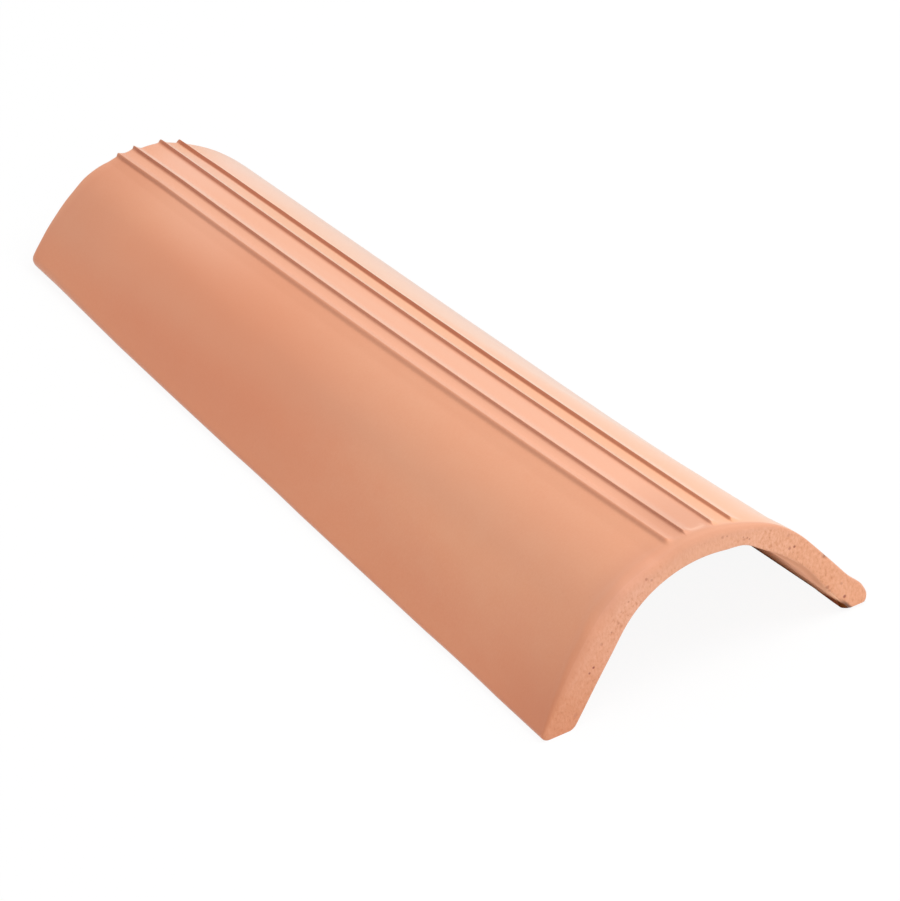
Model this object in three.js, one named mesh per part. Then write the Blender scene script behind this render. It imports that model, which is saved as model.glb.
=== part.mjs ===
// Curved clay roof tile of the barrel (canal) kind: a slab of fired clay bent into an
// arch that narrows towards one end, with four grip ribs pressed along its crown.
// Millimetres, +Z up. X runs across the tile, Y along it with the wide end at -Y.
// The tile lies on its two long feet on the plane z = 0, centred over the origin.
import * as THREE from 'three';
import { mergeVertices } from 'three/addons/utils/BufferGeometryUtils.js';

const { clamp, degToRad, lerp } = THREE.MathUtils;

// Driving dimensions, each one a size that could be set by itself.
const length = 400; // end cut to end cut
const wall = 10; // clay thickness at the crown and in the feet, square to the surface
const wideSpan = 143; // over the outside of the feet, wide end
const narrowSpan = 100; // over the outside of the feet, narrow end
const wideCrownRadius = 55.2; // outside of the arch, wide end
const narrowCrownRadius = 31; // outside of the arch, narrow end
const wideLegSlope = degToRad(50.8); // legs above the horizontal, wide end
const narrowLegSlope = degToRad(38.2); // legs above the horizontal, narrow end
const haunchThickening = 2.3; // extra clay on the outside, between crown and foot
const narrowFullness = 1.7; // how far both faces swell there at the narrow end
const crownSag = 2.8; // the fired arch is this much lower halfway along
const footRadius = 2.2; // outer lower edge of each foot
const arrisRadius = 2; // outer edge of both end cuts
const ribHeight = 1.8; // crest above the arch
const ribSteepWidth = 2.2; // flank of a rib towards -X
const ribGentleWidth = 3.4; // flank of a rib towards +X
const ribPairGap = 2.1; // bare strip between the two ribs of a pair
const ribMiddleGap = 6.1; // bare strip between the two pairs
const wideRibShift = 3.5; // ribs lie this far to +X of the crown line, wide end
const narrowRibShift = 8; // and this far at the narrow end

// How finely the smooth stretches are faceted.
const flankSteps = 12; // from the ribs down to the rounded foot, each side
const footSteps = 3; // round the lower edge of each foot
const arrisSteps = 3; // round the edge of each end cut
const bodySteps = 14; // along the length, between the two rounded edges

// The form of the arch at a share v of the length, 0 at the wide end, 1 at the narrow.
// It is an arc of the crown radius that runs on at both sides as a leg, down to z = 0.
// The sharp foot lies outside the rounded one, by what the rounding takes off.
function archAt(v) {
  const slope = lerp(wideLegSlope, narrowLegSlope, v);
  const radius = lerp(wideCrownRadius, narrowCrownRadius, v);
  const roundedOff = footRadius / Math.tan(slope / 2);
  const sharpFoot = lerp(wideSpan, narrowSpan, v) / 2 + roundedOff - footRadius;
  const rise = sharpFoot * Math.tan(slope) - (radius * (1 - Math.cos(slope))) / Math.cos(slope);
  return {
    slope,
    radius,
    centre: rise - radius,
    arcLength: radius * slope,
    legLength: (rise - radius * (1 - Math.cos(slope))) / Math.sin(slope) - roundedOff,
    roundLength: footRadius * (Math.PI - slope),
    innerLegLength: (rise - radius + (radius - wall) * Math.cos(slope)) / Math.sin(slope),
    roundCentre: sharpFoot - roundedOff,
    fullness: narrowFullness * v,
    settled: 1 - (4 * v * (1 - v) * crownSag) / rise,
    ribShift: lerp(wideRibShift, narrowRibShift, v),
  };
}

// The swell of the haunches at a distance from the crown line: none over the crown and
// at the foot, most between them, as a share of its full height.
const swellStart = 0.35; // as a share of the arc
function swellShare(path, { arcLength, legLength }) {
  const start = swellStart * arcLength;
  const share = (path - start) / (arcLength + legLength - start);
  return Math.sin(Math.PI * clamp(share, 0, 1));
}

// A pair of points through the wall, one on the outer and one on the inner face, at a
// distance over the outside from the crown line: along the arc, down the leg, round the
// foot. The outer one can stand up from the face.
function pairAt(signedPath, arch, up = 0) {
  const { slope, radius, arcLength, legLength, roundLength } = arch;
  const path = Math.abs(signedPath);
  const side = Math.sign(signedPath);
  const turned = Math.min(path, arcLength) / radius;
  const onLeg = clamp(path - arcLength, 0, legLength);
  const onRound = Math.max(path - arcLength - legLength, 0);
  const swell = swellShare(path, arch);

  const outwards = new THREE.Vector2(Math.sin(turned), Math.cos(turned));
  const down = new THREE.Vector2(Math.cos(slope), -Math.sin(slope));
  const outer = new THREE.Vector2(0, arch.centre);
  const inner = outer.clone();
  outer.addScaledVector(outwards, radius + up + swell * (arch.fullness + haunchThickening));
  outer.addScaledVector(down, onLeg);
  inner.addScaledVector(outwards, radius - wall + swell * arch.fullness);
  inner.addScaledVector(down, (arch.innerLegLength * (onLeg + onRound)) / (legLength + roundLength));
  if (onRound > 0) {
    const turn = Math.PI / 2 - slope - onRound / footRadius;
    outer.set(
      arch.roundCentre + footRadius * Math.cos(turn),
      footRadius * (1 + Math.sin(turn)));
  }

  for (const point of [outer, inner]) {
    point.x *= side;
    point.y *= arch.settled;
  }
  return { outer, inner };
}

// Where each rib starts, measured over the outside from the middle of the group.
const ribWidth = ribSteepWidth + ribGentleWidth;
const innerStart = ribMiddleGap / 2;
const pitch = ribWidth + ribPairGap;
const ribStarts = [-innerStart - pitch - ribWidth, -innerStart - ribWidth, innerStart, innerStart + pitch];
const ribbedHalf = innerStart + pitch + ribWidth;

// The form of one rib: a rounded ridge with hollow flanks, from the edge of its base up
// a flank to the crest, as shares of the flank's width and of the height.
const ribFlank = [
  { out: 1, up: 0 },
  { out: 0.6, up: 0.22 },
  { out: 0.25, up: 0.85 },
];
const ribProfile = [
  ...ribFlank.map(({ out, up }) => ({ along: ribSteepWidth * (1 - out), up: up * ribHeight })),
  { along: ribSteepWidth, up: ribHeight },
  ...ribFlank.map(({ out, up }) => ({ along: ribSteepWidth + ribGentleWidth * out, up: up * ribHeight }))
    .reverse(),
];

// The section from the left foot to the right, as pairs through the wall: round the
// foot, up the smooth flank, over the ribs with their bare strips, and down again.
function sectionAt(v) {
  const arch = archAt(v);
  const flankEnd = arch.arcLength + arch.legLength;
  const pathEnd = flankEnd + arch.roundLength;
  const pairs = [];
  for (let i = 0; i < footSteps; i += 1) {
    pairs.push(pairAt(lerp(-pathEnd, -flankEnd, i / footSteps), arch));
  }
  for (let i = 0; i < flankSteps; i += 1) {
    pairs.push(pairAt(lerp(-flankEnd, arch.ribShift - ribbedHalf, i / flankSteps), arch));
  }
  for (const start of ribStarts) {
    for (const { along, up } of ribProfile) {
      pairs.push(pairAt(arch.ribShift + start + along, arch, up));
    }
  }
  for (let i = 1; i <= flankSteps; i += 1) {
    pairs.push(pairAt(lerp(arch.ribShift + ribbedHalf, flankEnd, i / flankSteps), arch));
  }
  for (let i = 1; i <= footSteps; i += 1) {
    pairs.push(pairAt(lerp(flankEnd, pathEnd, i / footSteps), arch));
  }
  return pairs;
}

// Stations along the tile, as distances from the end cut: close together round the
// edges, even between them.
function stationsAlong() {
  const edge = [];
  for (let i = 0; i < arrisSteps; i += 1) {
    edge.push(arrisRadius * (1 - Math.cos((i / arrisSteps) * (Math.PI / 2))));
  }
  const body = [];
  for (let i = 0; i <= bodySteps; i += 1) {
    body.push(lerp(arrisRadius, length - arrisRadius, i / bodySteps));
  }
  return [...edge, ...body, ...edge.map((d) => length - d).reverse()];
}

// How far the outer face draws back in the rounded edge at a distance from an end cut.
function edgeDrawback(distance) {
  const inside = Math.max(arrisRadius - distance, 0);
  return arrisRadius - Math.sqrt(arrisRadius ** 2 - inside ** 2);
}

// The slab: a box divided across and along, whose corners are moved to the section.
function tileGeometry() {
  const stations = stationsAlong();
  const sections = stations.map((distance) => sectionAt(distance / length));
  const across = sections[0].length - 1;
  const along = stations.length - 1;

  const slab = new THREE.BoxGeometry(across, along, 1, across, along, 1);
  const corners = slab.attributes.position;
  for (let k = 0; k < corners.count; k += 1) {
    const column = Math.round(corners.getX(k) + across / 2);
    const row = Math.round(corners.getY(k) + along / 2);
    const { outer, inner } = sections[row][column];
    const point = inner.clone();
    if (corners.getZ(k) > 0) {
      const thick = outer.distanceTo(inner);
      const drawback = edgeDrawback(Math.min(stations[row], length - stations[row]));
      point.copy(outer).lerp(inner, drawback / thick);
    }
    corners.setXYZ(k, point.x, stations[row] - length / 2, point.y);
  }
  slab.deleteAttribute('normal');
  slab.deleteAttribute('uv');
  const solid = mergeVertices(slab, 1e-4);
  solid.computeVertexNormals();
  return solid;
}

const firedClay = new THREE.MeshStandardMaterial({ color: 0xe0a081, roughness: 0.92, metalness: 0 });

const tile = new THREE.Mesh(tileGeometry(), firedClay);
tile.name = 'roof_tile';

const roofTile = new THREE.Group();
roofTile.add(tile);

export default roofTile;
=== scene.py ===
# %% [markdown]
# # A curved clay roof tile
#
# This lesson dresses one barrel roof tile: a slab of clay that was bent over a tapered
# mould while it was wet, cut off at both ends with a wire, dried and fired. Its shape comes
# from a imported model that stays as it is. Here it gets a finer skin, a fired-clay finish, a
# camera and soft light. The clay is worked out in millimetres and handed to Blender in
# metres.

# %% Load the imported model
import math

import bpy
import numpy as np
from mathutils import Matrix, Vector, noise


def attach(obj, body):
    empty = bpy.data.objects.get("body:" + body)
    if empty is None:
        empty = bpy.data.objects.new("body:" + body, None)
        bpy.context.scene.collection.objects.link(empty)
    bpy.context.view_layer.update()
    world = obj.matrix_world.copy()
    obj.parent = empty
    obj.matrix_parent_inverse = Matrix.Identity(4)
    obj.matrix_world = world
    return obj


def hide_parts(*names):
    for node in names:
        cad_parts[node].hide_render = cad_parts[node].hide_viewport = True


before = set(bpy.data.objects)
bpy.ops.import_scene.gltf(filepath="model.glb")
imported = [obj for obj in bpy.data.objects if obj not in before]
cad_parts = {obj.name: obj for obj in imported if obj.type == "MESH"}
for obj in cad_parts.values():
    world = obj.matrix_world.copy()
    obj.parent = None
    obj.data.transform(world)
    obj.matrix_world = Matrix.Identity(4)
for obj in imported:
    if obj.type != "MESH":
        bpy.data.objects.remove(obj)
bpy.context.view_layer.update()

MM = 0.001  # one millimetre in Blender's metres

# %% [markdown]
# ## The camera
#
# A product shot of something long is taken from far away with a long lens, so that both
# ends keep nearly the same scale. A nearby camera with a short lens would make the near end
# swell. So the camera stands well back. Two angles and a roll aim it, which reads more
# easily than a rotation matrix, and the matrix is worked out from them.

# %% Where the camera stands
CAMERA_TURN = math.radians(-29.21)  # away from the wide end, towards the left side
CAMERA_RISE = math.radians(32.53)
CAMERA_ROLL = math.radians(-5.87)
CAMERA_DISTANCE = 3.65  # m
AIM = Vector((-0.0239, -0.0705, 0.04))  # m

towards_camera = Vector((
    math.sin(CAMERA_TURN) * math.cos(CAMERA_RISE),
    -math.cos(CAMERA_TURN) * math.cos(CAMERA_RISE),
    math.sin(CAMERA_RISE)))
level = towards_camera.cross(Vector((0, 0, -1))).normalized()
upright = level.cross(-towards_camera)
view_right = level * math.cos(CAMERA_ROLL) + upright * math.sin(CAMERA_ROLL)
view_up = upright * math.cos(CAMERA_ROLL) - level * math.sin(CAMERA_ROLL)
place = Matrix((view_right, view_up, towards_camera)).transposed().to_4x4()
place.translation = AIM + towards_camera * CAMERA_DISTANCE
print("camera stands at", tuple(round(x, 3) for x in place.translation))

# %% Camera
SENSOR_WIDTH = 36.0  # mm
LENS = 400.0  # mm
CAMERA_REACH = 50.0  # m, how far it sees

camera_data = bpy.data.cameras.new("camera")
camera_data.sensor_fit = "HORIZONTAL"
camera_data.sensor_width = SENSOR_WIDTH
camera_data.lens = LENS
camera_data.clip_end = CAMERA_REACH
camera = bpy.data.objects.new("camera", camera_data)
camera.matrix_world = place
bpy.context.scene.collection.objects.link(camera)
bpy.context.scene.camera = camera
print("it sees", round(CAMERA_DISTANCE * SENSOR_WIDTH / LENS, 2), "m across at the tile")

# %% [markdown]
# ## The section of the arch
#
# Across the tile the clay is an arc over the crown that runs on as two nearly straight
# legs, and each leg ends in a rounded foot. It could be drawn as a curve and lofted, but a
# loft knows nothing of how far a point is from the crown, and the ribs need that. So the
# section is a small formula: it walks a given distance from the crown line and gives the
# point there and the direction that the clay faces.

# %% One half of the arch
def slope_of_leg(reach, rise, radius):
    """The angle of the straight leg that leaves the arc smoothly and meets the ground at reach."""
    return math.asin(radius / math.hypot(reach, radius - rise)) - math.atan2(radius - rise, reach)


def stretches(reach, rise, radius, foot_round, outside):
    """Lengths of arc, leg and rounded foot, measured over the clay."""
    slope = slope_of_leg(reach, rise, radius)
    turn = math.pi - slope if outside else slope
    cut_short = foot_round * math.tan(turn / 2)
    leg = (rise - radius + radius * math.cos(slope)) / math.sin(slope) - cut_short
    return np.array([radius * slope, leg, foot_round * turn])


def half_section(path, reach, rise, radius, foot_round, outside=True):
    """Points (across, up) and outward normals at distances over the clay from the crown."""
    slope = slope_of_leg(reach, rise, radius)
    arc, leg, _ = stretches(reach, rise, radius, foot_round, outside)
    turned = np.minimum(path, arc) / radius
    down_leg = np.clip(path - arc, 0, leg)
    rounded = np.maximum(path - arc - leg, 0) / foot_round
    normal = np.stack([np.sin(turned), np.cos(turned)], 1)
    centre = np.stack([np.zeros_like(path), np.full_like(path, rise - radius)], 1)
    point = centre + radius * normal
    point += down_leg[:, None] * (math.cos(slope), -math.sin(slope))

    bends = 1 if outside else -1
    turned = slope + bends * rounded
    in_foot = np.stack([np.sin(turned), np.cos(turned)], 1)
    point += bends * foot_round * (in_foot - (math.sin(slope), math.cos(slope)))
    normal = np.where(rounded[:, None] > 0, in_foot, normal)
    return point, normal


example = dict(reach=70.0, rise=58.0, radius=55.0, foot_round=3.0)
print("arc, leg and foot in mm for", example, stretches(**example, outside=True).round(1))

# %% [markdown]
# ## The two ends and what lies between
#
# The tile tapers, because the wide end laps over the narrow end of the next one. It was
# bent by hand over a mould, so left and right differ by a few millimetres. Two plain sets of
# sizes hold that, one for each end, and every section between them is a blend, a little
# lower halfway along, where the wet clay sagged. All lengths are in millimetres, and v is
# the share of the length, 0 at the wide end and 1 at the narrow one.

# %% Sizes of the two ends
LENGTH = 400.0
# left and right go from the middle to the feet, crown is the place of the crown line, rise
# its height and radius that of the arc, and the swells make the flanks fuller.
WIDE = dict(
    left=72.2, right=71.4, crown=0.5, rise=57.9, radius=55.2, left_swell=3.6, right_swell=0.9)
NARROW = dict(
    left=51.6, right=56.1, crown=-2.3, rise=34.0, radius=31.0, left_swell=3.2, right_swell=4.9)
SAG = 2.8  # how much lower the crown is halfway along
WALL = 9.9  # at the crown
INNER_RADIUS_LESS = 9.4  # the inner arc is this much tighter than the outer one
INNER_SHIFT = 1.1  # the inside was pressed this far off centre
LEFT, RIGHT = -1, 1
FOOT_WIDTH = {LEFT: 14.8, RIGHT: 9.9}  # on the ground, before rounding
FOOT_ROUND_AT = (0, 0.7, 0.82, 0.95)  # shares of the length
FOOT_ROUND = {LEFT: (1.7, 2.0, 2.15, 2.8), RIGHT: (3.0, 3.4, 3.4, 3.4)}  # outer lower edge
INNER_FOOT_ROUND = {LEFT: 4.0, RIGHT: 1.6}


def blend(name, v):
    """A size of the section at a share of the length."""
    return WIDE[name] * (1 - v) + NARROW[name] * v


def halves(v, side):
    """Sizes of the outer and the inner half section on one side, at a share of the length."""
    crown = blend("crown", v)
    reach = blend("left", v) + crown if side == LEFT else blend("right", v) - crown
    foot_round = float(np.interp(v, FOOT_ROUND_AT, FOOT_ROUND[side]))
    outer = (reach, blend("rise", v), blend("radius", v), foot_round)
    inner = (reach - FOOT_WIDTH[side] - side * INNER_SHIFT, outer[1] - WALL,
             outer[2] - INNER_RADIUS_LESS, INNER_FOOT_ROUND[side])
    return outer, inner


for name, v in (("wide", 0), ("narrow", 1)):
    for side in (LEFT, RIGHT):
        slope = math.degrees(slope_of_leg(*halves(v, side)[0][:3]))
        print(f"{name} end, {'left' if side == LEFT else 'right'} leg slopes {slope:.1f} degrees")

# %% [markdown]
# ## The grip ribs
#
# Four low ribs run along the crown in two pairs. They come off the mould with a steep
# flank on the left and a long hollow one on the right, like small waves. They could be a
# bump in the material, but they show in the outline at the far end, so they are real clay
# here. Each rib has a crest line, given by its distances from the crown line at both ends,
# which bows to the right halfway and hooks to the left at its tip. It has a height, the
# steep flank called cliff, a low ramp before that, and a right flank that reaches so far.
# A size with two values changes from the first to the second towards the narrow end.

# %% Ribs, in millimetres
RIBS = (
    dict(wide=-9.4, narrow=-2.5, bow=0.3, hook=0.6, height=(1.5, 1.3), ramp=1.2,
         ramp_height=0.10, cliff=(2.1, 1.1), right=3.0),
    dict(wide=-2.6, narrow=4.4, bow=0.2, hook=0.6, height=(1.8, 1.8), ramp=2.6,
         ramp_height=0.70, cliff=(0.5, 0.5), right=3.8),
    dict(wide=8.9, narrow=15.0, bow=1.6, hook=0.1, height=(1.5, 1.5), ramp=1.5,
         ramp_height=0.40, cliff=(0.4, 0.4), right=3.4),
    dict(wide=17.4, narrow=24.0, bow=1.0, hook=1.1, height=(1.55, 1.55), ramp=1.0,
         ramp_height=0.25, cliff=(0.5, 0.5), right=4.6),
)
HOOK_FROM = 0.9  # the crests bend aside over the last tenth of the length
CHANGE_FROM = 0.6  # share of the length from which heights and cliffs change
BACK_HOLLOW = 1.5  # power of the right flank: above 1 it is hollow
RIBS_RUN_OUT = (3.2, 6.2)  # mm from the wide cut between which the ribs set in
WORN = 0.18  # at the wide end the ribs are this share lower
WORN_UP_TO = 0.3  # share of the length


def part_way(value, start, full):
    """0 at start, 1 at full and even steps between. Full may be the smaller of the two."""
    return np.clip((value - start) / (full - start), 0, 1)


def fade(value, start, full):
    """The same with a soft S between start and full."""
    way = part_way(value, start, full)
    return way * way * (3 - 2 * way)


def bow(v):
    """0 at both ends of the tile and 1 halfway along."""
    return 4 * v * (1 - v)


def crest(rib, v):
    """Signed distance of the crest from the crown line."""
    straight = rib["wide"] * (1 - v) + rib["narrow"] * v
    return straight + rib["bow"] * bow(v) - rib["hook"] * fade(v, HOOK_FROM, 1)


def size_of(rib, name, v):
    """A size that changes towards the narrow end, at a share of the length."""
    return float(np.interp(v, (CHANGE_FROM, 1), rib[name]))


print("crests from the crown line in mm, wide end:", [float(crest(rib, 0)) for rib in RIBS],
      "narrow end:", [round(float(crest(rib, 1)), 1) for rib in RIBS])

# %% Profile of the ribs
def rib_rise(path, v):
    """How far the ribs stand up, at signed distances from the crown line."""
    up = np.zeros_like(path)
    for rib in RIBS:
        away = path - crest(rib, v)
        steep, height = size_of(rib, "cliff", v), size_of(rib, "height", v)
        cliff = height - (height - rib["ramp_height"]) * fade(-away, 0, steep)
        ramp = rib["ramp_height"] * part_way(-away, steep + rib["ramp"], steep) ** 2
        back = height * part_way(away, rib["right"], 0) ** BACK_HOLLOW
        up = np.maximum(up, np.where(away > 0, back, np.where(-away < steep, cliff, ramp)))
    worn = 1 - WORN * fade(v, WORN_UP_TO, 0)
    return up * worn * fade(v * LENGTH, *RIBS_RUN_OUT)


for v in (0.1, 0.5, 1.0):
    heights = [round(float(rib_rise(np.array([crest(rib, v)]), v)[0]), 2) for rib in RIBS]
    print(f"ribs at {v:.0%} of the length rise {heights} mm")

# %% [markdown]
# ## A grid over the slab
#
# The slab has six faces, and one box-shaped grid covers them all: columns across, rows
# along the length, layers through the wall. A box made in Blender and bent with modifiers
# would have even cells. This grid is laid so that the cells are small where the form is: on
# the ribs, round the feet and at the two cuts.

# %% Columns across the tile
COLUMNS_BETWEEN = dict(  # how many there are over each stretch
    foot=9, left_flank=60, ramp=3, cliff=6, back=7, strip=(2, 6, 2), right_flank=46)


def evenly(start, end, count):
    """count positions from start on, without the end."""
    return start + (end - start) * np.arange(count) / count


def columns(v):
    """Signed distances over the outside from the crown line, from the left foot to the right."""
    left, right = (stretches(*halves(v, side)[0], True) for side in (LEFT, RIGHT))
    n = COLUMNS_BETWEEN
    tops = [crest(rib, v) for rib in RIBS]
    feet = [top - size_of(rib, "cliff", v) for top, rib in zip(tops, RIBS)]
    starts = [foot - rib["ramp"] for foot, rib in zip(feet, RIBS)]
    ends = [top + rib["right"] for top, rib in zip(tops, RIBS)]
    path = [evenly(-left.sum(), -left[:2].sum(), n["foot"]),
            evenly(-left[:2].sum(), starts[0], n["left_flank"])]
    for k in range(len(RIBS)):
        path += [evenly(starts[k], feet[k], n["ramp"]), evenly(feet[k], tops[k], n["cliff"]),
                 evenly(tops[k], ends[k], n["back"])]
        if k + 1 < len(RIBS):
            path.append(evenly(ends[k], starts[k + 1], n["strip"][k]))
    path += [evenly(ends[-1], right[:2].sum(), n["right_flank"]),
             evenly(right[:2].sum(), right.sum(), n["foot"]), [right.sum()]]
    return np.concatenate(path)


column_count = len(columns(0))
print("columns:", column_count, "over", round(columns(0)[-1] - columns(0)[0], 1), "mm of clay")

# %% [markdown]
# The rows crowd at both cuts, where the arrises turn and the ribs run out, and are even
# along the body. The layers crowd at both skins for the same reason.

# %% Rows along the tile and layers through the wall
BODY_STEP = 3.0  # mm between two rows of the body
LAYERS = 18
near_cut = np.array([0, 0.15, 0.4, 0.75, 1.2, 1.75, 2.4, 3.2, 4.0, 4.8, 5.7, 6.8, 8.4, 10.6])

body_length = LENGTH - 2 * near_cut[-1]
body_rows = np.linspace(near_cut[-1], LENGTH - near_cut[-1], round(body_length / BODY_STEP) + 1)
rows = np.concatenate([near_cut[:-1], body_rows, LENGTH - near_cut[-2::-1]])
layers = (1 - np.cos(np.linspace(0, math.pi, LAYERS + 1))) / 2
print(f"rows: {len(rows)}, layers: {LAYERS}")

# %% [markdown]
# ## Swollen flanks and a bent leg
#
# The flanks belly out a little between crown and foot, because the clay was thick and
# soft. The right leg has accidents of its own: at the wide end it flares, its foot was
# squeezed into a bead outside and a lip inside, and the wire took a sliver off its inner
# skin. Sculpting them would be quick but can't be repeated. So each one is a soft hill or
# dent with a place, a spread and an amount, pushed the way the clay faces.

# %% Swelling of the flanks
SWELL_FROM = 0.35  # share of the arc after which a flank swells
THICKENS = 2.3  # mm of swelling that thicken the wall; what is more bends the inside too


def soft_strip(place, middle, spread, amount):
    """A soft hill round one value of place, which runs the whole length of the tile."""
    return amount * np.exp(-(((place - middle) / spread) ** 2))


def pushed(points, normals, amount):
    """Points moved along their normals."""
    return points + normals * amount[..., None]


def swelling(away, lengths, side, v):
    """How far the outer and the inner skin swell, at distances from the crown line."""
    start = SWELL_FROM * lengths[0]
    belly = np.sin(math.pi * part_way(away, start, lengths.sum()))
    fullness = blend("left_swell" if side == LEFT else "right_swell", v)
    return belly * fullness, belly * v * max(fullness - THICKENS, 0)


for end, sizes in (("wide", WIDE), ("narrow", NARROW)):
    print(f"{end} end swells {sizes['left_swell']} mm left, {sizes['right_swell']} mm right")

# %% Accidents of the right leg, in millimetres
FLARE = 0.85  # at the wide cut the leg turns outwards this much
FLARE_SETS_IN = (20, 40)  # distances from the crown line
FLARE_ENDS = 20  # from the cut
BEAD = dict(middle=8, spread=3.8, amount=1.1)  # by height; it ends where the flare does
HOLLOW_INSIDE = dict(middle=23, spread=6, amount=0.55)  # by height
DENT_INSIDE = dict(middle=23, spread=7, amount=1.2)  # by distance from the crown line
SLIVER = dict(middle=24, spread=13, amount=1.65)  # by height
SLIVER_FROM = 0.3  # share of the arc
SLIVER_ENDS = 5  # from the cut
LIP_AT = (0, 2, 8, 20, 60)  # distances from the cut
LIP_WIDTH = (0, 2.4, 2.2, 1.4, 2.2)
LIP_HEIGHT = 3.6
LIP_HOLLOW = 1.5  # power of its slope


def bend_right_leg(point, under, normal, away, arc, from_wide):
    """Adds the accidents to the outer and the inner points of one row."""
    on_leg = away > arc
    flare = FLARE * fade(away, *FLARE_SETS_IN) + soft_strip(point[:, 1], **BEAD) * on_leg
    point = pushed(point, normal, flare * fade(from_wide, FLARE_ENDS, 0))
    under = pushed(under, normal, soft_strip(under[:, 1], **HOLLOW_INSIDE) * on_leg)
    under = pushed(under, normal, soft_strip(away, **DENT_INSIDE))
    sliver = soft_strip(under[:, 1], **SLIVER) * (away > SLIVER_FROM * arc)
    under = pushed(under, normal, sliver * fade(from_wide, SLIVER_ENDS, 0))
    lip = part_way(under[:, 1], LIP_HEIGHT, 0) ** LIP_HOLLOW
    under[:, 0] -= lip * np.interp(from_wide, LIP_AT, LIP_WIDTH)
    return point, under


print("lip inside the right foot:", max(LIP_WIDTH), "mm wide")

# %% [markdown]
# ## Skins of the slab
#
# At every row the outer skin is the section with its ribs, and the inner skin lies under
# it at the matching share of arc, leg and foot. A solidify modifier could add the inner
# skin, but its wall would be even, and this one thickens towards the feet.

# %% Outer and inner skin of one row
def skin_row(v):
    """Outer points, inner points and outward normals of one row, as (across, up)."""
    path = columns(v)
    outer, inner, facing = np.zeros((3, len(path), 2))
    for side in (LEFT, RIGHT):
        on_side = path < 0 if side == LEFT else path >= 0
        away = np.abs(path[on_side])
        outer_half, inner_half = halves(v, side)
        out = stretches(*outer_half, True)
        into = stretches(*inner_half, False)
        matching = np.interp(away, np.r_[0, np.cumsum(out)], np.r_[0, np.cumsum(into)])
        point, normal = half_section(away, *outer_half)
        under, _ = half_section(matching, *inner_half, outside=False)
        swell_out, swell_in = swelling(away, out, side, v)
        point, under = pushed(point, normal, swell_out), pushed(under, normal, swell_in)
        if side == RIGHT:
            point, under = bend_right_leg(point, under, normal, away, out[0], v * LENGTH)
        mirror = np.array([side, 1])
        outer[on_side] = point * mirror + (blend("crown", v), 0)
        inner[on_side] = under * mirror + (blend("crown", v) + INNER_SHIFT, 0)
        facing[on_side] = normal * mirror
    outer = pushed(outer, facing, rib_rise(path, v))
    settled = np.array([1, 1 - SAG * bow(v) / blend("rise", v)])
    return outer * settled, inner * settled, facing


shape = (len(rows), column_count)
paths = np.zeros(shape)
outer, inner, facing = np.zeros((3, *shape, 3))
for k, from_wide in enumerate(rows):
    paths[k] = columns(from_wide / LENGTH)
    for skin, row_of_skin in zip((outer, inner, facing), skin_row(from_wide / LENGTH)):
        skin[k][:, [0, 2]] = row_of_skin
    outer[k, :, 1] = inner[k, :, 1] = from_wide - LENGTH / 2
print(f"skins of {shape[0]} by {shape[1]} points, crown {outer[..., 2].max():.1f} mm high")

# %% [markdown]
# Hand-made clay is never dead straight, so slow noise moves both skins by a few tenths of
# a millimetre, about as much in as out. It could be a displace modifier, but that would
# also blur the ribs and lift the feet. Worked out here, it can leave both alone.

# %% Hand waves in both skins
OUTER_WAVES = (  # patch size in mm, how positions along the tile count, seed, height in mm
    (34, 0.35, 3, 0.50), (11, 1.0, 8, 0.15))
INNER_WAVES = ((26, 0.30, 21, 0.50),)
OUTER_MIDDLE, INNER_MIDDLE = 0.32, 0.25  # mm, taken off so that the waves go both ways
FULL_ABOVE = 12, 8  # mm over the ground, outside and inside
FLANKS_FACE = (0.93, 0.83)  # how far up the clay faces where the waves set in


def unevenness(points, size, along, seed):
    """Smooth random values from 0 to 1 at points in mm, in patches of about that size."""
    flat = points.reshape(-1, 3) * (1, along, 1)
    values = [noise.noise(Vector(p) / size + Vector((seed, 0, 0))) for p in flat]
    return np.array(values).reshape(points.shape[:-1]) * 0.5 + 0.5


def waves(points, kinds):
    """Several kinds of unevenness, each at its own height, added up."""
    return sum(height * unevenness(points, *kind) for *kind, height in kinds)


on_flank = part_way(outer[..., 2], 0, FULL_ABOVE[0]) * part_way(facing[..., 2], *FLANKS_FACE)
outer = pushed(outer, facing, (waves(outer, OUTER_WAVES) - OUTER_MIDDLE) * on_flank)
off_ground = part_way(inner[..., 2], 0, FULL_ABOVE[1])
inner = pushed(inner, facing, (waves(inner, INNER_WAVES) - INNER_MIDDLE) * off_ground)

through = inner - outer
thickness = np.linalg.norm(through, axis=2)
through /= thickness[..., None]
print(f"half of the wall is over {np.median(thickness):.1f} mm thick")

# %% [markdown]
# ## Cut ends and soft arrises
#
# The ends were cut through wet clay with a wire. Where the wire left the clay the edge was
# smoothed with a wet finger: broadly on the left flank, hardly at all on the right leg. A
# bevel modifier rounds every edge alike, so the rounding is worked out here: a point of
# the grid that lies nearer to the arris than its radius moves onto a quarter circle.

# %% Rounding radii of the two cuts, in millimetres
ARRIS_AT = (-90, -75, -50, -20, -9, 0, 8, 17, 24, 34, 50, 90)  # from the crown line
WIDE_ARRIS = (1.2, 3.0, 5.5, 5.5, 4.6, 4.0, 3.4, 3.2, 2.4, 1.3, 0.5, 0.8)
NARROW_ARRIS = 1.0
INNER_ARRIS_AT, INNER_ARRIS = (40, 70), (0.5, 1.0)  # the right leg's inner edge is crisp
FINGER_WANDERS = 0.2  # share by which the finger's radius went up and down
FINGER_PATCH, FINGER_SEED = 10, 5  # mm

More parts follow.
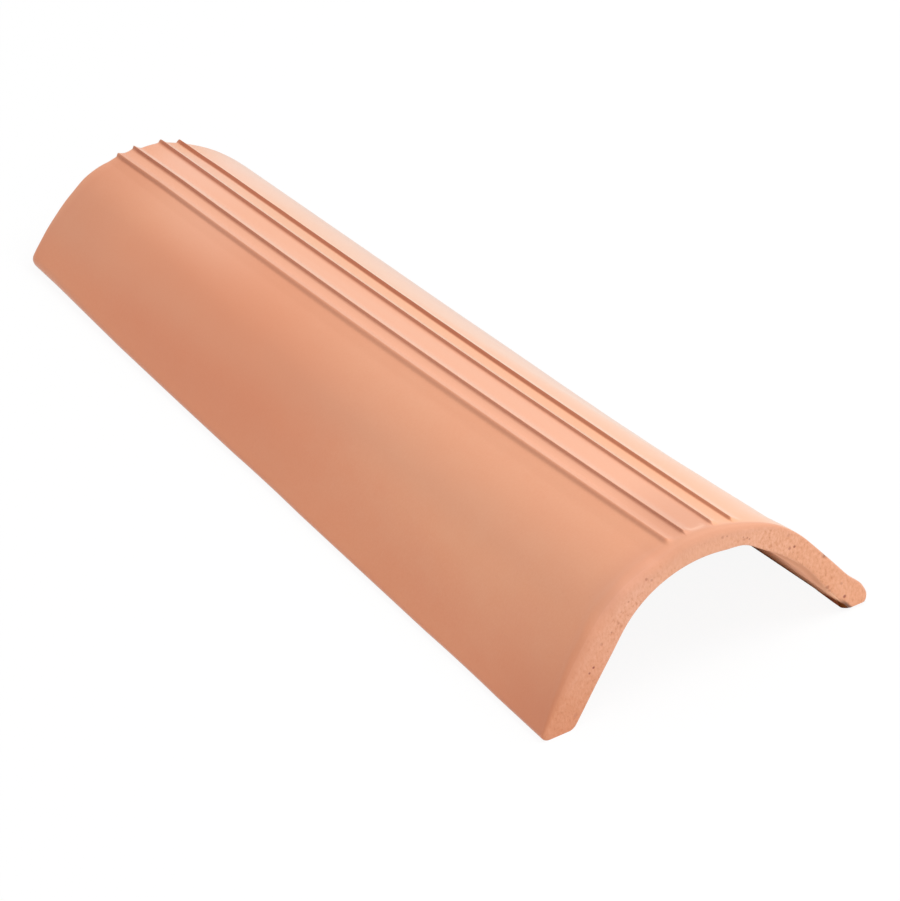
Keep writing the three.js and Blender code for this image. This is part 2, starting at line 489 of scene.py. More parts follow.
path_at_cut = columns(0)
wide_arris = np.interp(path_at_cut, ARRIS_AT, WIDE_ARRIS)
inner_arris = np.interp(path_at_cut, INNER_ARRIS_AT, INNER_ARRIS)
wander = unevenness(path_at_cut[:, None] * (1, 0, 0), FINGER_PATCH, 1.0, FINGER_SEED)
wander = 1 - FINGER_WANDERS + 2 * FINGER_WANDERS * wander


def rounded(from_end, depth, radius):
    """Moves points near an arris, given by two distances from its faces, onto the round."""
    a, b = radius - from_end, radius - depth
    near = (a > 0) & (b > 0)
    reach = np.where(near, np.hypot(a, b), 1)
    return (np.where(near, radius - radius * a / reach, from_end),
            np.where(near, radius - radius * b / reach, depth))


print(f"arris at the wide cut from {(wide_arris * wander).min():.1f} mm "
      f"to {(wide_arris * wander).max():.1f} mm in radius")

# %% [markdown]
# The outer lower edges were rubbed while the tile was handled. Each rubbed stretch is an
# oval bite, deepest at the ground. One function then turns any place of the grid into a
# point of the finished slab.

# %% Rubbed edges, and the point at each place of the grid
RUBBED = (  # side, place along the tile, half length of the stretch, depth, in mm
    (LEFT, 201, 3, 0.5), (LEFT, 8, 26, 0.3), (LEFT, -140, 26, 0.3),
    (RIGHT, -200, 1, 0.4), (RIGHT, 200, 2.0, 1.5), (RIGHT, 60, 40, 0.5))
RUBBED_HEIGHT = 14  # mm


def rubbed_off(points):
    """How far the outer lower edges are rubbed in, towards the middle of the tile."""
    pull = np.zeros(len(points))
    low = part_way(points[:, 2], RUBBED_HEIGHT, 0) ** 2
    for side, along, half, depth in RUBBED:
        bite = np.clip(1 - ((points[:, 1] - along) / half) ** 2, 0, 1)
        pull += side * depth * bite * low * (np.sign(points[:, 0]) == side)
    return pull


def grid_point(row, column, layer):
    """Points (n, 3) of the slab's surface for equally long index arrays."""
    wall = thickness[row, column]
    at_wide = rows[row] < LENGTH / 2
    from_end = np.where(at_wide, rows[row], LENGTH - rows[row])
    arris = np.where(at_wide, wide_arris[column], NARROW_ARRIS) * wander[column]
    from_end, depth = rounded(from_end, layers[layer] * wall, arris)
    from_end, from_inside = rounded(from_end, wall - depth, inner_arris[column])
    depth = wall - from_inside
    point = pushed(outer[row, column], through[row, column], depth)
    point[:, 1] = np.where(at_wide, from_end, LENGTH - from_end) - LENGTH / 2
    point[:, 0] -= rubbed_off(point) * (1 - layers[layer])
    return point


crown_place = [np.array([k]) for k in (0, np.argmin(np.abs(path_at_cut)), 0)]
print("crown at the wide cut in mm:", grid_point(*crown_place)[0].round(1))

# %% [markdown]
# ## One closed mesh
#
# Only the surface of the grid becomes mesh: two skins, two cuts, two feet. Each grid place
# on the surface gets one number, so neighbouring faces share their vertices and the shell
# is closed by construction, with no seams to weld afterwards.

# %% Faces of the slab
OUTSIDE, INSIDE = 0, 1  # numbers of the two finishes
last_row, last_column = len(rows) - 1, column_count - 1
number, quads, finish_of_quad = {}, [], []


def index_of(*grid_place):
    """The vertex number of a place (row, column, layer), a new one at the first call."""
    return number.setdefault(grid_place, len(number))


def cover(size_a, size_b, place_of, flip, finish=OUTSIDE):
    """A grid of quads over one side of the slab."""
    for a in range(size_a):
        for b in range(size_b):
            corners = ((a, b), (a + 1, b), (a + 1, b + 1), (a, b + 1))
            quad = [index_of(*place_of(*corner)) for corner in corners]
            quads.append(quad[::-1] if flip else quad)
            finish_of_quad.append(finish)


cover(last_row, last_column, lambda a, b: (a, b, 0), True)
cover(last_row, last_column, lambda a, b: (a, b, LAYERS), False, INSIDE)
cover(last_column, LAYERS, lambda a, b: (0, a, b), True)
cover(last_column, LAYERS, lambda a, b: (last_row, a, b), False)
cover(last_row, LAYERS, lambda a, b: (a, 0, b), False)
cover(last_row, LAYERS, lambda a, b: (a, last_column, b), True)
print(f"{len(number)} vertices, {2 * len(quads)} triangles")

# %% [markdown]
# The feet stand on the ground, apart from the right one, which lifts a little towards the
# wide cut where the clay warped in the kiln.

# %% Points of the slab
GROUND_GAP = 0.02  # mm, so that clay and floor never share a plane
LIFT = 0.9  # mm, of the right foot at the wide cut
LIFT_ENDS = 34  # mm from the cut

row, column, layer = np.array(list(number)).T
points = grid_point(row, column, layer)
lift = LIFT * fade(points[:, 1] + LENGTH / 2, LIFT_ENDS, 0) * (points[:, 0] > 0)
points[:, 2] = np.maximum(points[:, 2], GROUND_GAP + lift)
print("slab in mm from", points.min(0).round(2), "to", points.max(0).round(2))

# %% [markdown]
# ## A chip
#
# The crisp right edge of the wide cut has lost a chip. It shows in the outline, so it is
# pressed into the mesh as a shallow bowl, and a mask remembers where it is, for the dark
# painted shade in its hollow.

# %% A chip on the outer edge of the wide cut
CHIP = dict(across=52.6, up=27.2, radius=1.3, depth=0.9)
CHIP_BACK = 2.0  # mm behind the cut in which it fades out
CHIP_BOWL = 1.5  # power of the bowl's form

from_chip = np.hypot(points[:, 0] - CHIP["across"], points[:, 2] - CHIP["up"]) / CHIP["radius"]
chip = np.clip(1 - from_chip ** 2, 0, 1) ** CHIP_BOWL
chip *= part_way(points[:, 1] + LENGTH / 2, CHIP_BACK, 0)
points[:, 1] += CHIP["depth"] * chip
print("chip reaches", np.count_nonzero(chip), "vertices")

# %% [markdown]
# ## Masks that tell the finish where it is
#
# A finish needs to know where the cut, the ribs and the rubbed edges are. Painting that on
# an image would need an unwrapped mesh. The places are known here from the grid, so each
# mask is a number from 0 to 1 at every vertex. First come the ribs and the crown, as whole
# rows and columns of the grid. A dark line of painted shade runs along the steep flank of
# each rib, and a paler painted highlight lies over the crown and the right side.

# %% Masks of the ribs and the crown
# painted shade along the steep flank of each rib
CREASE_SHADES = (  # one for each rib: width in mm, darkness at the wide end, halfway and at the far end
    (1.8, (0.33, 0.19, 0.40)), (1.1, (0.48, 0.46, 0.74)),
    (1.1, (0.47, 0.65, 0.78)), (1.0, (0.60, 0.86, 0.86)))
CREASE_SHADES_SET_IN = (4.4, 6.4)  # mm from the wide cut
CREASE_SHADE_ENDS = (0.3, -0.1)  # mm past the crest
# a paler painted highlight over the crown and the right side, warmer past the third crest
HIGHLIGHT_FROM, HIGHLIGHT_TO = (-2, 4.5), (62, 32)  # mm past the first crest, and from the crown line
PEACH_HIGHLIGHT_FROM = (-0.5, 1.0)  # mm past the third crest
# Where the flat strip between the middle ribs begins, the wet finger left a small ridge.
# It is not in the mesh: its lit crest is a pale painted highlight.
RIM_HIGHLIGHT = dict(back=5.4, bent=1.6, thick=0.9, half_width=4.2, soft=0.3)  # mm, soft as a share

distance = rows[:, None]
v = distance / LENGTH
past_crest = [paths - crest(rib, v) for rib in RIBS]
painted_highlight = fade(past_crest[0], *HIGHLIGHT_FROM) * fade(paths, *HIGHLIGHT_TO)
peach_highlight = painted_highlight * fade(past_crest[2], *PEACH_HIGHLIGHT_FROM)
across_strip = (past_crest[1] + past_crest[2]) / 2 / RIM_HIGHLIGHT["half_width"]
rim_place = RIM_HIGHLIGHT["back"] + RIM_HIGHLIGHT["bent"] * across_strip ** 2
rim_highlight = np.exp(-(((distance - rim_place) / RIM_HIGHLIGHT["thick"]) ** 2))
rim_highlight *= fade(np.abs(across_strip), 1, 1 - RIM_HIGHLIGHT["soft"])
crease_shade = np.zeros(shape)
for away, (width, darkness) in zip(past_crest, CREASE_SHADES):
    line = fade(away, -width, -width / 2) * part_way(away, *CREASE_SHADE_ENDS)
    dark = np.interp(v, (0, 0.5, 1), darkness) * fade(distance, *CREASE_SHADES_SET_IN)
    crease_shade = np.maximum(crease_shade, line * dark)
print(f"bloom covers {painted_highlight.mean():.0%} of the outside, creases {(crease_shade > 0).mean():.0%}")

# %% [markdown]
# The kiln's flame and smoke coloured the flanks in wide soft clouds. Noise could make
# such clouds anywhere, but here they have their places, so each one is an oval with a
# middle, a size and a strength.

# %% Clouds on the flanks
FLUSHES = (  # side, along, up, half length, half height in mm, strength
    (LEFT, 85, 14, 120, 22, 1.0), (LEFT, 55, 32, 80, 15, 0.8), (LEFT, 95, 24, 70, 12, 0.5),
    (LEFT, -200, 2, 60, 14, 0.7), (RIGHT, -60, 18, 110, 20, 0.8))
PALER = ((LEFT, -110, 30, 100, 13, 1.0), (LEFT, -195, 30, 30, 12, 0.4))
EMBERS = ((LEFT, 75, 30, 85, 11, 1.0), (LEFT, 150, 24, 40, 9, 0.6))
HAZE = ((LEFT, 130, 37, 50, 5, 1.0),)
CLOUD_EDGE = 1.5  # how fast a cloud thins out
DARK_CORNER, DARK_CORNER_SIZE = (-66.0, -200.0, 0.0), 36.0  # mm, the clay turns darker round this point at the near left corner

x, y, z = points.T


def clouds(places):
    """Soft oval patches on the flanks."""
    cloud = np.zeros(len(points))
    for side, along, up, half_length, half_height, strength in places:
        out = ((y - along) / half_length) ** 2 + ((z - up) / half_height) ** 2
        cloud += strength * np.exp(-CLOUD_EDGE * out) * (np.sign(x) == side)
    return np.clip(cloud, 0, 1)


from_dark_corner = np.linalg.norm(points - DARK_CORNER, axis=1)
print(f"flushes touch {(clouds(FLUSHES) > 0.1).mean():.0%} of the clay")

# %% [markdown]
# All masks go into one table by name. A mask of the outer skin counts on the outermost
# layer alone, so it can't leak through the wall. Each fade names what it is measured by,
# where the mask is still 0 and where it is full, in millimetres: z over the ground, x and y
# in the tile's own frame, from_wide and from_cut along the tile, and over_clay from the
# crown line.

# %% Masks of the outer skin
LOW = 24  # mm, about how high the foot of a flank is
FAR_END_SPARES = 0.75  # share by which the painted highlight keeps the far end's darkness off

outside, inside = layer == 0, layer == LAYERS
from_wide = rows[row]
from_cut = np.minimum(from_wide, LENGTH - from_wide)
over_clay = paths[row, column]
painted_highlight_here = painted_highlight[row, column]

masks = {
    # painted highlight over the crown and the right side
    "painted_highlight": painted_highlight_here,
    "peach_highlight": peach_highlight[row, column],
    # painted shade along each rib's steep flank
    "crease_shade": crease_shade[row, column] * outside,
    # pale painted highlight on the crest of the small ridge
    "rim_highlight": rim_highlight[row, column] * outside,
    "flush": clouds(FLUSHES),
    "paler": clouds(PALER) * outside,
    "ember": clouds(EMBERS) * outside,
    "haze": clouds(HAZE) * outside,
    "dark_corner": np.exp(-((from_dark_corner / DARK_CORNER_SIZE) ** 2)),
    # the foot of both flanks, and the last millimetres over the ground
    "low": np.exp(-((z / LOW) ** 2)) * outside,
    "ground": part_way(z, 4, 0),
    # the left shoulder beside the ribs, and the lower edges just behind the cuts
    "shoulder": fade(over_clay, -54, -34) * (1 - painted_highlight_here) * outside,
    "edge": part_way(from_cut, 10, 0) * fade(z, 44, 30) * outside,
    # the broad arris on the left shoulder, where the finger left a lip
    "lip": fade(from_wide, 18, 6) * fade(z, 38, 48) * fade(x, -8, -17) * outside,
    # the narrow end, darker and redder, and a rosy band of the painted highlight before it
    "far_end": (fade(y, 150, 190) * fade(z, 4, 26) * outside
                * (1 - FAR_END_SPARES * painted_highlight_here)),
    "rosy_highlight": (fade(from_wide, 320, 380) * fade(from_wide, 395, 380)
             * fade(over_clay, 3, 6) * painted_highlight_here),
    # the crown near the wide cut, greyed between the first rib and the third
    "dulled": (fade(from_wide, 60, 15) * fade(over_clay, -9, -7) * fade(over_clay, 10, 7)
               * outside),
}
print("masks of the outer skin:", ", ".join(masks))

# %% [markdown]
# The cut is raw clay. Its mask sets in on the round of the arris and is full where the
# round ends, because the finger drew some of the skin over it. The cut grows tan towards
# the feet and a little rosy on the left, and the arris has a tone of its own.

# %% Masks of the cuts
CUT_ON_ARRIS = 0.35  # how far the mask has come in the middle of the round
ARRIS_REACH = 1.6  # the arris tone fades out at this many radii
ARRIS_LOW = 0.6  # its strength on the legs

arris_here = wide_arris[column]
into_wall = layers[layer] * thickness[row, column]
on_cut = (row == 0) | (row == last_row)
at_near_end = y < 0
in_arris = part_way(into_wall / arris_here, 0, 1)

masks |= {
    "cut": np.where(on_cut, CUT_ON_ARRIS + (1 - CUT_ON_ARRIS) * in_arris,
                    CUT_ON_ARRIS * part_way(from_cut, arris_here, 0) * outside),
    "tan": fade(np.abs(x), 4, 54) * on_cut,
    "arris": (part_way(from_cut + into_wall, ARRIS_REACH * arris_here, 0)
              * (ARRIS_LOW + (1 - ARRIS_LOW) * fade(z, 36, 46)) * at_near_end),
    "crown_arris": (np.where(on_cut, 1 - in_arris, fade(from_cut / arris_here, 1.1, 0.8) * outside)
                    * fade(over_clay, -14, -6) * at_near_end),
    "rosy": fade(x, -14, -26) * fade(z, 10, 24) * on_cut,
    "chip": chip,
}
print("masks so far:", len(masks))

# %% [markdown]
# The inside lay on sand. Its tone is partly painted light against the shade of the arch,
# paler low down and palest on the sliver that the wire took off. Along the ground the lip of
# the right foot gets a brown painted shade, more near the wide cut and darkest at its corner.

# %% Masks of the inside
FOOT_SHADE_HIGH, FOOT_SHADE_SOFT = 2.0, 1.2  # mm over the ground
FOOT_SHADE_MORE = 2.2  # mm that are added near the wide cut
CORNER_SHADE_DEEP, CORNER_SHADE_BACK = 1.9, 4  # mm outwards from the inner skin, and back from the cut
SLIVER_AT_CUT = 0.15  # how pale the sliver is where it meets the cut

on_right = x > 0
foot_shade_to = FOOT_SHADE_HIGH + FOOT_SHADE_MORE * fade(from_wide, 16, 4)
to_inside = thickness[row, column] - into_wall

masks |= {
    # the inside's own paler tone, partly painted light against the shade of the arch
    "under": inside.astype(float),
    # painted light low on the inside, over the shade near the ground
    "sanded": fade(z, 17, 7) * inside,
    # painted shade along the inner lip of the right foot, where it meets the ground
    "burnt": fade(z, foot_shade_to, foot_shade_to - FOOT_SHADE_SOFT) * inside * on_right,
    # painted light on the sliver near the wide cut, which lies in shade
    "sliver": ((SLIVER_AT_CUT + (1 - SLIVER_AT_CUT) * fade(from_wide, 1.5, 5.5))
               * fade(from_wide, 30, 10) * fade(z, 44, 36) * fade(z, 8, 14)
               * inside * on_right),
    # darker painted shade at the inner corner of the right foot by the wide cut
    "soot": (fade(to_inside, CORNER_SHADE_DEEP, CORNER_SHADE_DEEP - 1) * fade(z, 7, 3) * on_right
             * (from_wide < CORNER_SHADE_BACK)),
}
weakest = min(masks, key=lambda name: masks[name].max())
print(f"{len(masks)} masks, the weakest is {weakest}, at most {masks[weakest].max():.2f}")

# %% [markdown]
# Points, quads and masks now become one Blender object. Every mask is stored as an
# attribute of the mesh, one number for each vertex, which a material can read by name and
# which goes wherever the mesh goes.

# %% The mesh with its masks
mesh = bpy.data.meshes.new("clay_body")
mesh.from_pydata((points * MM).tolist(), [], quads)
mesh.update()
for name, values in masks.items():
    attribute = mesh.attributes.new(name, "FLOAT", "POINT")
    attribute.data.foreach_set("value", values.astype(np.float32))
mesh.shade_smooth()
tile = bpy.data.objects.new("clay_body", mesh)
bpy.context.scene.collection.objects.link(tile)
print("tile box in mm:", points.min(0).round(2), points.max(0).round(2))

# %% [markdown]
# ## Fired clay
#
# Terracotta is red earthenware, fired without glaze: a dry, matt, slightly dusty surface
# whose colour wanders between rose and yellow where the flame reached it. The outer skin
# was smoothed by the wet mould, the cuts are torn and grainy, the inside lay on sand.
# Separate materials would meet in hard lines, and on the real tile the finishes run into
# each other over the soft arris. So one node tree does all of them, and the masks say
# where each one shows.

# %% Colours and nodes
def colour(hex_text):
    """An sRGB hex colour as linear RGBA."""
    parts = [int(hex_text[k:k + 2], 16) / 255 for k in (1, 3, 5)]
    return [c / 12.92 if c <= 0.04045 else ((c + 0.055) / 1.055) ** 2.4 for c in parts] + [1.0]


def add(tree, kind, sockets=None, **settings):
    """Adds a node with its settings. A socket gets a value, or a link from another's output."""
    node = tree.nodes.new("ShaderNode" + kind)
    for name, value in settings.items():
        setattr(node, name, value)
    for socket, value in (sockets or {}).items():
        if isinstance(value, bpy.types.NodeSocket):
            tree.links.new(value, node.inputs[socket])
        else:
            node.inputs[socket].default_value = value
    return node


CLAY = "#DE8E64"
print("plain fired clay in linear light:", [round(c, 3) for c in colour(CLAY)[:3]])

# %% [markdown]
# The colour is laid in the order in which the clay got it. First the body, then the slow
# kiln flush in patches of a hand's width, drawn out along the tile, then smaller clouds
# where it dried unevenly, then grains of sand. Real grains are 0.2 to 0.5 mm across, too
# fine to show in the render, so they are drawn two to three times as coarse.

# %% Terracotta: body colour
COLOUR_LAYERS = (  # what it is, patch size in mm, detail, noise range, colour, how far it goes
    ("kiln flush", (42, 120, 42), 1.5, (0.40, 0.62), "#DD936B", 0.5),
    ("red flush", (30, 70, 30), 2.0, (0.50, 0.72), "#D8825D", 0.3),
    ("drying clouds", (11, 22, 11), 3.0, (0.40, 0.70), "#E09B74", 0.30),
    ("sand grain", (0.9, 0.9, 0.9), 2.0, (0.35, 0.75), "#E8A888", 0.18),
    ("dark grain", (1.3, 1.3, 1.3), 2.0, (0.58, 0.78), "#C27855", 0.14),
)
APART = (137.0, 51.0, 0)  # mm between the places where two layers read their noise

terracotta = bpy.data.materials.new("terracotta")
terracotta.use_nodes = True
t = terracotta.node_tree
t.nodes.clear()
in_metres = add(t, "TexCoord").outputs["Object"]
at = add(t, "VectorMath", {0: in_metres, "Scale": 1 / MM}, operation="SCALE").outputs[0]
where = {name: add(t, "Attribute", attribute_name=name).outputs["Fac"] for name in masks}

body = colour(CLAY)
for k, (name, size, detail, (low, high), hex_text, amount) in enumerate(COLOUR_LAYERS):
    moved = add(t, "VectorMath", {0: at, 1: [k * step for step in APART]}, operation="ADD")
    scaled = add(t, "VectorMath", {0: moved.outputs[0], 1: size}, operation="DIVIDE")
    spots = add(t, "TexNoise", {"Vector": scaled.outputs[0], "Scale": 1.0, "Detail": detail})
    share = add(t, "MapRange", {
        "Value": spots.outputs[0], "From Min": low, "From Max": high, "To Max": amount},
        interpolation_type="SMOOTHSTEP")
    body = add(t, "Mix", {0: share.outputs[0], 6: body, 7: colour(hex_text)},
               data_type="RGBA", label=name).outputs[2]
print("layers of body colour:", len(COLOUR_LAYERS))

# %% [markdown]
# The cuts show the raw body, paler and yellower than the skin, with grit that the wire
# tore. The grit of such clay is crushed brick of about a millimetre, and the wire's short
# drags make its spots a little taller than wide. Below the crown the wet finger smoothed
# the cut too, so it is calmer there.

# %% Terracotta: torn clay of the cuts
GRIT_SIZE = (1.0, 1.1, 1.6)  # mm
PATCH_SIZE = (9, 9, 9)  # mm, grittier and smoother patches
PATCH_RANGE, PATCH_SHIFT = (0.35, 0.62), 0.07  # noise, and how much it lifts the grit's noise
TORN_TONES = ((0.30, "#B66B47"), (0.42, "#DD9A75"), (0.69, "#F3B799"))  # noise, colour
CALM_TONE = "#E3A07B"
CALM, CALM_ENDS = 0.7, 0.5  # how calm the crown is, and the tan at which that has gone

grit_place = add(t, "VectorMath", {0: at, 1: GRIT_SIZE}, operation="DIVIDE").outputs[0]
grit = add(t, "TexNoise", {
    "Vector": grit_place, "Scale": 1.0, "Detail": 3.0, "Roughness": 0.65}).outputs[0]
patch_place = add(t, "VectorMath", {0: at, 1: PATCH_SIZE}, operation="DIVIDE").outputs[0]
patches = add(t, "TexNoise", {"Vector": patch_place, "Scale": 1.0, "Detail": 1.0})
smoother = add(t, "MapRange", {
    "Value": patches.outputs[0], "From Min": PATCH_RANGE[0], "From Max": PATCH_RANGE[1],
    "To Min": PATCH_SHIFT, "To Max": 0.0})
uneven = add(t, "Math", {0: grit, 1: smoother.outputs[0]}, operation="ADD")
torn = add(t, "ValToRGB", {0: uneven.outputs[0]})
stops = torn.color_ramp.elements
stops.new(TORN_TONES[-1][0])
for stop, (position, hex_text) in zip(stops, TORN_TONES):
    stop.position, stop.color = position, colour(hex_text)
calm = add(t, "MapRange", {
    "Value": where["tan"], "From Max": CALM_ENDS, "To Min": CALM, "To Max": 0.0})
torn = add(t, "Mix", {0: calm.outputs[0], 6: torn.outputs[0], 7: colour(CALM_TONE)},
           data_type="RGBA")
print("torn clay changes its tone at", [round(stop.position, 2) for stop in stops])

# %% [markdown]
# Over the body colour lie the tones that have a place, one for each mask. Later layers
# cover earlier ones, so their order is part of the look.

# %% Terracotta: tones that have a place
MASK_LAYERS = (  # mask, how far it goes, colour
    ("low", 0.50, "#DB7F4C"),
    ("flush", 0.55, "#D5784C"),
    ("paler", 0.35, "#EA9E72"),
    ("shoulder", 0.50, "#D79571"),
    ("ember", 0.35, "#DB7C4C"),
    ("haze", 0.30, "#E9AE92"),
    # painted highlight over the crown and the right side: warmer past the third rib, rosy before
    # the narrow end
    ("painted_highlight", 1.0, "#E7A583"),
    ("peach_highlight", 0.7, "#E9A77A"),
    ("rosy_highlight", 0.5, "#ECB298"),
    ("dulled", 0.55, "#CE8A69"),
    ("edge", 0.25, "#D07A55"),
    ("far_end", 0.40, "#CC7B54"),
    # painted shade along each rib's steep flank
    ("crease_shade", 1.0, "#A64E1E"),
    ("ground", 0.40, "#D5764E"),
    ("cut", 1.0, torn.outputs[2]),
    ("lip", 0.5, "#D18A68"),
    ("tan", 0.45, "#E39563"),
    ("arris", 0.8, "#DB9B7D"),
    ("crown_arris", 0.85, "#D49473"),
    ("rosy", 0.12, "#EFB2A0"),
    # pale painted highlight on the crest of the small ridge
    ("rim_highlight", 0.55, "#F3BFA2"),
    # darker towards the near left corner
    ("dark_corner", 0.45, "#C46F45"),
    # the inside's tone, partly painted light, with more painted light low down and on the sliver
    ("under", 1.0, "#DDA07F"),
    ("sliver", 0.9, "#FFC4A3"),
    ("sanded", 1.0, "#FFC9A6"),
    # painted shade along the right foot's inner lip, darkest at its corner by the wide cut
    ("burnt", 1.0, "#95583A"),
    ("soot", 1.0, "#6E3C1C"),
    # painted shade in the hollow of the chip
    ("chip", 1.0, "#8F5238"),
)
for name, amount, paint in MASK_LAYERS:
    share = add(t, "Math", {0: where[name], 1: amount}, operation="MULTIPLY")
    paint = colour(paint) if isinstance(paint, str) else paint
    body = add(t, "Mix", {0: share.outputs[0], 6: body, 7: paint},
               data_type="RGBA", label=name).outputs[2]
print("tones with a place:", len(MASK_LAYERS))

# %% [markdown]
# The wire also pulled single grains out of the wide cut, and each left a small pit. Noise
# would scatter them evenly. A list puts them where the clay was coarse, mostly down the
# legs, and each pit is a ball that darkens the clay it touches with painted shade.

# %% Terracotta: pits in the wide cut
PITS = (  # across, up, radius in mm, how dark
    (59.7, 6.7, 0.9, 0.8), (-47.2, 22.1, 0.65, 0.9), (40.3, 36.5, 0.7, 0.8),
    (38.2, 36.6, 0.8, 0.5), (-49.1, 20.4, 0.6, 0.7), (52.8, 13.5, 1.1, 0.4),
    (53.5, 11.5, 0.9, 0.35), (-22.2, 49.0, 0.8, 0.4), (-20.1, 47.8, 0.7, 0.35),
    (58.9, 12.7, 0.8, 0.3), (-56.4, 5.5, 1.1, 0.25), (19.7, 48.3, 0.7, 0.3),
    (-35.3, 35.9, 0.7, 0.3), (38.2, 42.2, 0.9, 0.25), (-43.0, 30.2, 0.9, 0.25),
    (48.8, 17.8, 1.0, 0.25), (10.7, 53.0, 0.8, 0.3), (20.9, 48.5, 0.5, 0.5),
    (21.8, 47.6, 0.45, 0.5), (19.3, 49.4, 0.45, 0.4), (12.6, 52.7, 0.45, 0.4),
    (-38.5, 33.4, 0.5, 0.4), (-30.4, 43.0, 0.5, 0.35), (-33.8, 40.0, 0.45, 0.3))
PIT_FLOOR = 0.4  # share of the radius that is fully dark
PIT_SHADE_COLOUR = "#8A2A0C"

pit_shade_and_depth = 0.0
for across, up, radius, dark in PITS:
    middle = (across, -LENGTH / 2, up)
    away = add(t, "VectorMath", {0: at, 1: middle}, operation="DISTANCE").outputs["Value"]
    hole = add(t, "MapRange", {
        "Value": away, "From Min": PIT_FLOOR * radius, "From Max": radius,
        "To Min": dark, "To Max": 0.0})
    pit_shade_and_depth = add(t, "Math", {0: hole.outputs[0], 1: pit_shade_and_depth}, operation="MAXIMUM").outputs[0]
# painted shade inside the pits
body = add(t, "Mix", {0: pit_shade_and_depth, 6: body, 7: colour(PIT_SHADE_COLOUR)},
           data_type="RGBA", label="pits").outputs[2]
print("pits in the cut:", len(PITS))

# %% [markdown]
# What a fingertip would feel is relief: waves that the hand left, drag lines of the mould
# along the tile, sand, and on the cuts torn grit and pits. In the mesh it would take
# millions of faces and none of it shows in the outline, so bump nodes do it. Sand is drawn
# about twice as coarse as it is, or the render wouldn't show it.

# %% Terracotta: relief
RELIEF = (  # what it is, size in mm, height in mm
    ("hand waves", (14, 30, 14), 0.10),
    ("drag lines of the mould", (1.4, 60, 1.4), 0.02),
    ("sand", (0.7, 0.7, 0.7), 0.025),
)
TORN_HEIGHT, PIT_DEPTH = 0.12, 0.08  # mm

relief = None
for name, size, height in RELIEF:
    scaled = add(t, "VectorMath", {0: at, 1: size}, operation="DIVIDE")
    form = add(t, "TexNoise", {"Vector": scaled.outputs[0], "Scale": 1.0, "Detail": 2.0})
    sockets = {"Height": form.outputs[0], "Distance": height * MM, "Strength": 1.0}
    if relief:
        sockets["Normal"] = relief
    relief = add(t, "Bump", sockets, label=name).outputs[0]
relief = add(t, "Bump", {
    "Height": grit, "Distance": TORN_HEIGHT * MM, "Strength": where["cut"],
    "Normal": relief}).outputs[0]
relief = add(t, "Bump", {
    "Height": pit_shade_and_depth, "Distance": PIT_DEPTH * MM, "Normal": relief}, invert=True).outputs[0]
print("kinds of relief:", len(RELIEF) + 2)

# %% [markdown]
# Unglazed clay is metallic nowhere, its roughness is high and varies with the grit, and
# its IOR is that of the minerals in it, about 1.5. Fine dust clings to it and catches
# light where the surface turns away. Sheen gives the eye that soft, dry look.

# %% Terracotta: surface
MINERAL_IOR = 1.5
ROUGHNESS = (0.58, 0.78)  # between grains of grit and on them
DUST = {"Sheen Weight": 1.0, "Sheen Roughness": 0.4, "Sheen Tint": colour("#FFFDF7")}

rough = add(t, "MapRange", {"Value": grit, "To Min": ROUGHNESS[0], "To Max": ROUGHNESS[1]})
clay = add(t, "BsdfPrincipled", {
    "Base Color": body, "Roughness": rough.outputs[0], "Normal": relief, "IOR": MINERAL_IOR,
    **DUST})
add(t, "OutputMaterial", {0: clay.outputs[0]})
print("terracotta has", len(t.nodes), "nodes")

# %% [markdown]
# The inside is sanded clay. Loose sand has no smooth face that could mirror the floor, so
# it gets a copy of the finish without gloss and without the dusty sheen. That leaves the
# eye a plain, dull, warm surface in the shade of the arch.

# %% Sanded terracotta of the inside
sanded = terracotta.copy()
sanded.name = "terracotta_inside"
sanded_clay = next(node for node in sanded.node_tree.nodes if node.type == "BSDF_PRINCIPLED")
for socket in ("Sheen Weight", "Specular IOR Level"):
    sanded_clay.inputs[socket].default_value = 0.0
for finish in (terracotta, sanded):
    mesh.materials.append(finish)
mesh.polygons.foreach_set("material_index", finish_of_quad)
print("faces with the sanded finish:", sum(finish_of_quad))

# %% [markdown]
# ## What the tile belongs to
#
# The tile is one piece of clay with no moving parts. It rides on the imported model's one
# body, takes its finish from the slot for fired clay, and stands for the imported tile,
# which is hidden and goes on serving for weight and collisions.

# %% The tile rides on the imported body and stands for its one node
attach(tile, "root")
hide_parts("roof_tile")
print(tile.name, "rides on root with", len(mesh.materials), "finishes")

# %% [markdown]
# ## Floor and light
#
# The tile lies on a white floor with no horizon. A lit white floor is never quite white,
# and more lamp light would bleach the clay with it. So for the camera the floor glows a
# little by itself, and the soft contact shadow still shows.

# %% Floor
FLOOR_SIZE = 24  # m
FLOOR_UNDER = 0.0001  # m below the feet
PAPER, WHITE = "#F4F4F4", "#FFFFFF"
GLOWS = 0.92  # share of the floor's look that glows; the rest shows the shadow

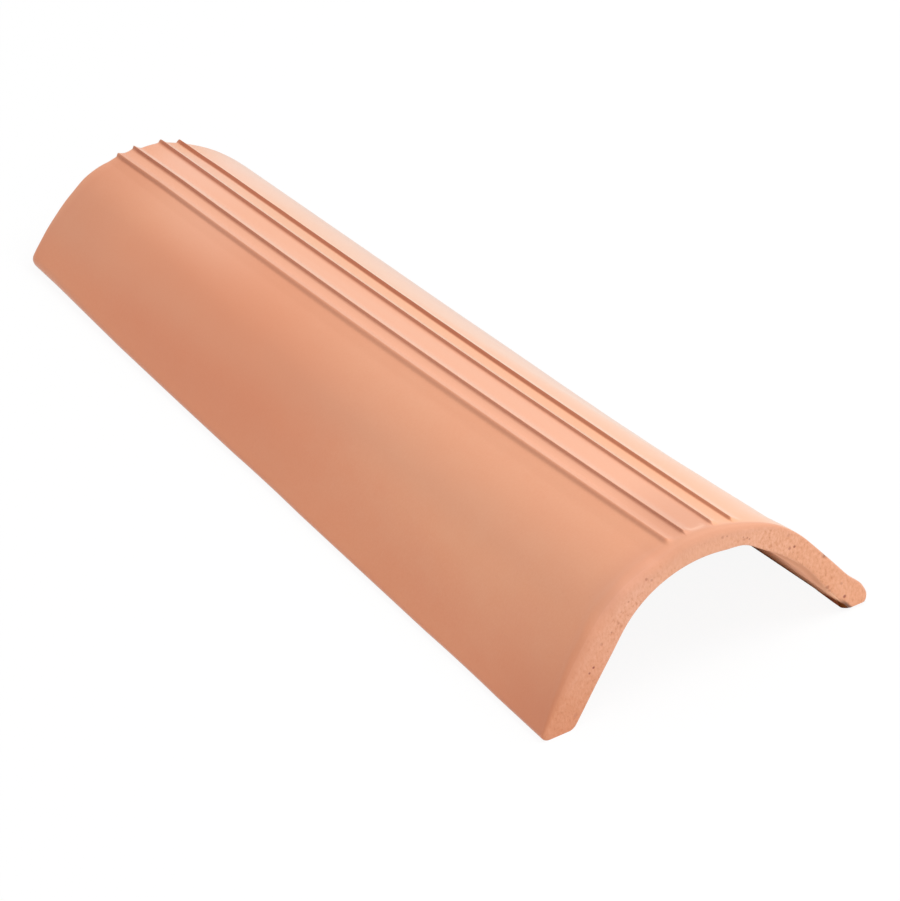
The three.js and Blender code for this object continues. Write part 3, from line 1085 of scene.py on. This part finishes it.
bpy.ops.mesh.primitive_plane_add(size=FLOOR_SIZE, location=(0, 0, -FLOOR_UNDER))
floor = bpy.context.object
floor.name = "floor"
paper = bpy.data.materials.new("white_paper")
paper.use_nodes = True
f = paper.node_tree
f.nodes.clear()
rays = add(f, "LightPath").outputs
seen = add(f, "Math", {0: rays["Is Camera Ray"], 1: rays["Is Glossy Ray"]}, operation="ADD")
glowing = add(f, "Math", {0: seen.outputs[0], 1: GLOWS}, operation="MULTIPLY")
matt = add(f, "BsdfDiffuse", {"Color": colour(PAPER)})
glow = add(f, "Emission", {"Color": colour(WHITE), "Strength": 1.0})
both = add(f, "MixShader", {0: glowing.outputs[0], 1: matt.outputs[0], 2: glow.outputs[0]})
add(f, "OutputMaterial", {0: both.outputs[0]})
floor.data.materials.append(paper)
print("floor reaches", FLOOR_SIZE / 2, "m to each side")

# %% [markdown]
# Clay looks like clay in soft light. One big softbox high on the right models the arch and
# leaves the left flank in a gentle shade, and an even white sky fills the rest. The sky is
# dimmer for the clay than for the camera, which sees plain white where the floor ends.

# %% Lamps and sky
KEY = dict(direction=(0.42, -0.30, 0.86), distance=1.8, size=1.2, watts=23)  # metres
SKY_ON_CLAY, SKY_SEEN = 0.66, 1.0


def softbox(name, direction, distance, size, watts):
    """A square lamp that stands in a direction from the tile and faces it."""
    data = bpy.data.lights.new(name, "AREA")
    data.shape, data.size, data.energy = "SQUARE", size, watts
    lamp = bpy.data.objects.new(name, data)
    away = Vector(direction).normalized()
    lamp.location = away * distance
    lamp.rotation_euler = away.to_track_quat("Z", "Y").to_euler()
    bpy.context.scene.collection.objects.link(lamp)
    return lamp


key = softbox("key", **KEY)
world = bpy.data.worlds.new("white_room")
world.use_nodes = True
w = world.node_tree
w.nodes.clear()
rays = add(w, "LightPath").outputs
seen = add(w, "Math", {0: rays["Is Camera Ray"], 1: rays["Is Glossy Ray"]}, operation="ADD")
strength = add(w, "MapRange", {
    "Value": seen.outputs[0], "To Min": SKY_ON_CLAY, "To Max": SKY_SEEN})
sky = add(w, "Background", {"Color": colour(WHITE), "Strength": strength.outputs[0]})
add(w, "OutputWorld", {0: sky.outputs[0]})
bpy.context.scene.world = world
bpy.context.scene.view_settings.view_transform = "Standard"
print("key stands at", tuple(round(x, 2) for x in key.location))
